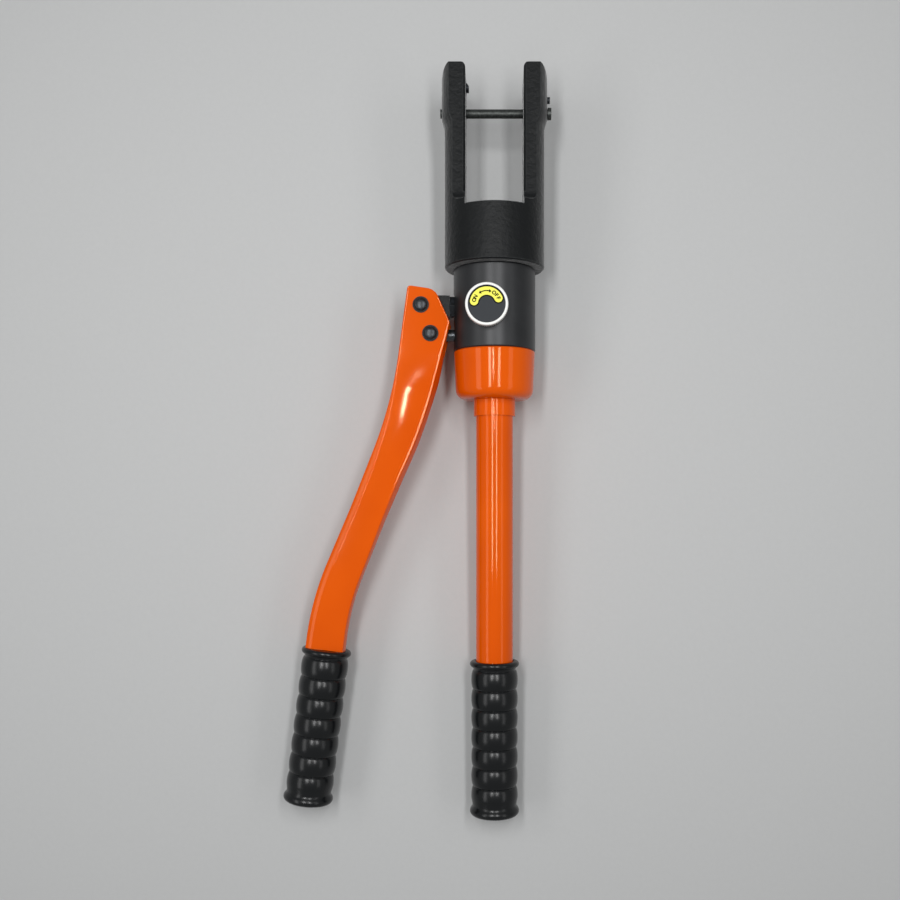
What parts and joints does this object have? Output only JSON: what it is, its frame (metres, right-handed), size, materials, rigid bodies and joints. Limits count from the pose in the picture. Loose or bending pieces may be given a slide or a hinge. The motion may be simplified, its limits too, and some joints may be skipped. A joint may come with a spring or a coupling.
{
  "type": "hydraulic crimping tool",
  "caption": "Hand-pumped hydraulic crimping tool with a swivelling U-shaped head, a ram with a die socket, a release knob, a fixed handle and a pump lever with ribbed grips.",
  "frame": {"origin": "centre of the mouth of the die socket, on the nose of the retracted ram", "axes": "+Y along the tool's axis from the handle towards the head, +Z out of the release knob's face, +X away from the pump lever; the tool lies on its back"},
  "size_m": [0.1804, 0.5, 0.0677],
  "materials": {
    "orange_paint": "glossy",
    "satin_black": "satin",
    "dark_grey": "satin",
    "bright_steel": "ground",
    "spring_steel": "drawn",
    "bronze": "turned",
    "grip_rubber": "matt",
    "seal_rubber": "matt",
    "knob_plastic": "matt",
    "white_plastic": "satin",
    "yellow_label": "printed"
  },
  "bodies": {
    "body": {"valve_body": "dark_grey", "fulcrum_bracket": "satin_black", "bracket_locknut": "dark_grey", "fulcrum_bush": "bronze", "pump_gland": "bright_steel", "plunger_seal": "seal_rubber", "inlet_seat": "bright_steel", "inlet_spring": "spring_steel", "outlet_spring": "spring_steel", "outlet_plug": "bright_steel", "relief_spring": "spring_steel", "relief_screw": "bright_steel", "stem_seal": "seal_rubber", "stem_gland": "bright_steel", "cylinder_stop_ring": "bright_steel", "head_retaining_ring": "spring_steel", "ram_return_spring": "spring_steel", "lower_cup": "orange_paint", "cup_seal": "seal_rubber", "tube_ferrule": "orange_paint", "handle_tube": "orange_paint", "handle_grip": "grip_rubber", "oil_bladder": "seal_rubber", "bladder_clamp": "bright_steel", "suction_filter": "bronze", "tube_end_plug": "bright_steel", "plug_seal": "seal_rubber"},
    "head": {"yoke_head": "satin_black", "ram_guide_bush": "bronze", "ram_wiper": "seal_rubber", "catch_sleeve": "bright_steel", "catch_spring": "spring_steel", "detent_sleeve": "bright_steel", "detent_spring": "spring_steel"},
    "ram": {"ram": "bright_steel", "piston_seal": "seal_rubber", "piston_guide_ring": "bronze"},
    "cross_pin": {"cross_pin": "dark_grey"},
    "die_catch": {"die_catch": "satin_black"},
    "detent": {"detent_pin": "satin_black"},
    "lever": {"pump_lever": "orange_paint", "lever_grip": "grip_rubber", "fulcrum_pin": "dark_grey", "plunger_pin": "dark_grey", "pin_washers": "satin_black", "pin_clips": "spring_steel"},
    "plunger": {"pump_plunger": "bright_steel"},
    "knob": {"release_knob": "knob_plastic", "knob_ring": "white_plastic", "knob_label": "yellow_label", "release_stem": "bright_steel"},
    "inlet_ball": {"inlet_ball": "bright_steel"},
    "outlet_ball": {"outlet_ball": "bright_steel"},
    "relief_ball": {"relief_ball": "bright_steel"}
  },
  "joints": [
    {"name": "head_swivel", "type": "hinge", "parent": "body", "child": "head", "pos_m": [0, 0, 0], "axis": [0, 1, 0], "range_deg": [-90, 90]},
    {"name": "ram_stroke", "type": "slide", "parent": "body", "child": "ram", "axis": [0, 1, 0], "range_m": [0, 0.018], "deforming": ["ram_return_spring"]},
    {"name": "cross_pin_pull", "type": "slide", "parent": "head", "child": "cross_pin", "axis": [1, 0, 0], "range_m": [0, 0.065]},
    {"name": "die_catch_press", "type": "slide", "parent": "head", "child": "die_catch", "axis": [-1, 0, 0], "range_m": [0, 0.002], "stiffness_N_per_m": 800, "deforming": ["catch_spring"]},
    {"name": "detent_press", "type": "slide", "parent": "head", "child": "detent", "axis": [-1, 0, 0], "range_m": [0, 0.0015], "stiffness_N_per_m": 800, "deforming": ["detent_spring"]},
    {"name": "lever_swing", "type": "hinge", "parent": "body", "child": "lever", "pos_m": [-0.049, -0.0621, 0], "axis": [0, 0, 1], "range_deg": [-40, 10]},
    {"name": "plunger_stroke", "type": "slide", "parent": "body", "child": "plunger", "axis": [1, 0, 0], "range_m": [-0.0135, 0.0034]},
    {"name": "knob_turn", "type": "hinge", "parent": "body", "child": "knob", "pos_m": [-0.005, -0.066, 0], "axis": [0, 0, 1], "range_deg": [0, 90]},
    {"name": "inlet_lift", "type": "slide", "parent": "body", "child": "inlet_ball", "axis": [0, 1, 0], "range_m": [0, 0.001], "stiffness_N_per_m": 200, "deforming": ["inlet_spring"]},
    {"name": "outlet_lift", "type": "slide", "parent": "body", "child": "outlet_ball", "axis": [0, 1, 0], "range_m": [0, 0.001], "stiffness_N_per_m": 200, "deforming": ["outlet_spring"]},
    {"name": "relief_lift", "type": "slide", "parent": "body", "child": "relief_ball", "axis": [0, 0, -1], "range_m": [0, 0.001], "stiffness_N_per_m": 2000, "deforming": ["relief_spring"]}
  ],
  "couplings": [
    {"joint": "plunger_stroke", "follows": "lever_swing", "m_per_rad": 0.0193}
  ]
}
